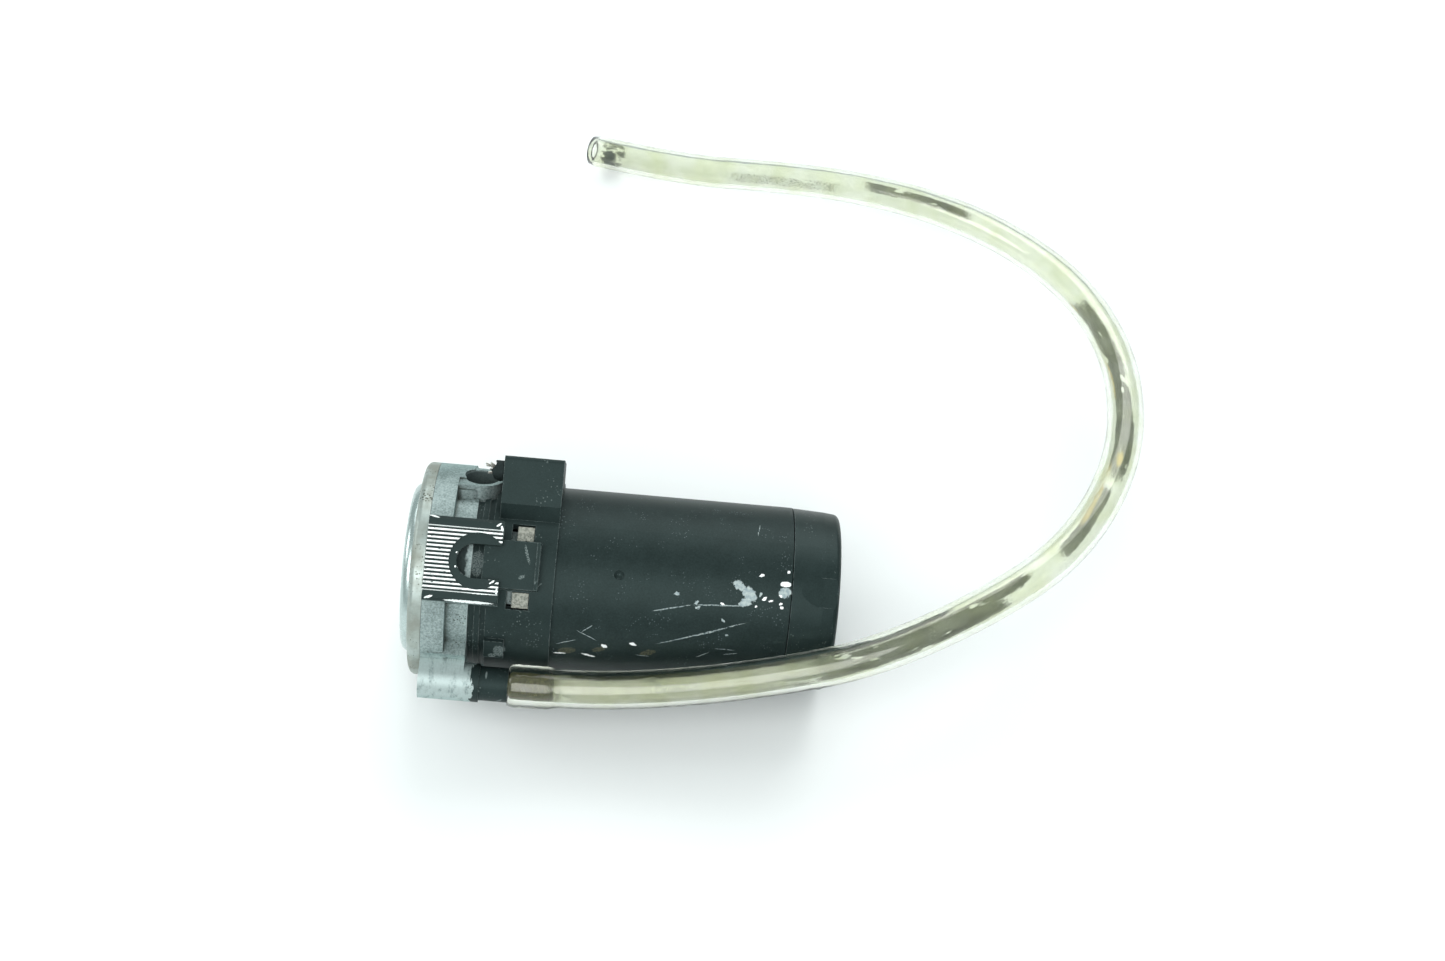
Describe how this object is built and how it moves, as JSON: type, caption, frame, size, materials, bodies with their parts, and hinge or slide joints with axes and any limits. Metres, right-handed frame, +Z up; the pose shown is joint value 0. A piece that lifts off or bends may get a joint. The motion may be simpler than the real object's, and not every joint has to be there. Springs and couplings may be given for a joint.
{
  "type": "rotary vane air compressor",
  "caption": "Small electric rotary-vane air compressor: round motor can, die-cast pump head with ridged mounting pad, and a clear hose on its outlet.",
  "frame": {"origin": "centre of the bottom of the compressor's box as it rests on a surface, hose left out", "axes": "+X runs from the pump head to the motor's tail, +Z is up, and the hose leaves on the -Y side"},
  "size_m": [0.2196, 0.2575, 0.074],
  "materials": {
    "die_cast": "rough die-cast",
    "zinc_steel": "bright zinc plate",
    "black_plastic": "moulded, satin",
    "can_paint": "satin black, chipped",
    "clear_pvc": "clear, yellowed",
    "black_rubber": "matt",
    "gasket_paper": "fibre",
    "steel": "ground",
    "sintered": "sintered",
    "carbon": "pressed graphite",
    "felt": "felt",
    "ferrite": "pressed ferrite",
    "copper": "enamelled or turned copper",
    "bronze": "oiled sintered bronze",
    "phenolic": "laminate"
  },
  "bodies": {
    "compressor_body": {"pump_housing": "die_cast", "front_cover": "zinc_steel", "cover_gasket": "gasket_paper", "wear_plate": "steel", "shaft_seal": "black_rubber", "inlet_filter": "felt", "outlet_nipple": "black_plastic", "hose": "clear_pvc", "collar": "black_plastic", "lead_stub": "black_rubber", "terminal_blades": "zinc_steel", "motor_can": "can_paint", "end_cap": "black_plastic", "magnet_1": "ferrite", "magnet_2": "ferrite", "magnet_clips": "steel", "front_bearing": "bronze", "rear_bearing": "bronze", "brush_plate": "phenolic", "brush_holder_1": "bronze", "brush_holder_2": "bronze", "brush_spring_1": "steel", "brush_spring_2": "steel", "through_bolts": "zinc_steel"},
    "rotor": {"motor_shaft": "steel", "armature_core": "sintered", "armature_winding": "copper", "commutator": "copper", "thrust_washers": "steel", "pump_rotor": "sintered", "drive_pin": "steel"},
    "vane_1": {"vane_1": "carbon"},
    "vane_2": {"vane_2": "carbon"},
    "vane_3": {"vane_3": "carbon"},
    "vane_4": {"vane_4": "carbon"},
    "brush_1": {"brush_1": "carbon"},
    "brush_2": {"brush_2": "carbon"}
  },
  "joints": [
    {"name": "rotor_spin", "type": "hinge", "parent": "compressor_body", "child": "rotor", "pos_m": [-0.00189, 0.00426, 0.03149], "axis": [0.9958, 0, -0.0915], "continuous": true},
    {"name": "vane_1_slide", "type": "slide", "parent": "rotor", "child": "vane_1", "axis": [-0.0904, -0.1564, -0.9835], "range_m": [0, 0.0008]},
    {"name": "vane_2_slide", "type": "slide", "parent": "rotor", "child": "vane_2", "axis": [0.0143, -0.9877, 0.1558], "range_m": [0, 0.0008]},
    {"name": "vane_3_slide", "type": "slide", "parent": "rotor", "child": "vane_3", "axis": [0.0904, 0.1564, 0.9835], "range_m": [0, 0.0008]},
    {"name": "vane_4_slide", "type": "slide", "parent": "rotor", "child": "vane_4", "axis": [-0.0143, 0.9877, -0.1558], "range_m": [0, 0.0008]},
    {"name": "brush_1_slide", "type": "slide", "parent": "compressor_body", "child": "brush_1", "axis": [0.0808, -0.4695, 0.8792], "range_m": [0, 0.0025], "stiffness_N_per_m": 180, "springref_m": -0.006, "deforming": ["brush_spring_1"]},
    {"name": "brush_2_slide", "type": "slide", "parent": "compressor_body", "child": "brush_2", "axis": [-0.0808, 0.4695, -0.8792], "range_m": [0, 0.0025], "stiffness_N_per_m": 180, "springref_m": -0.006, "deforming": ["brush_spring_2"]}
  ]
}
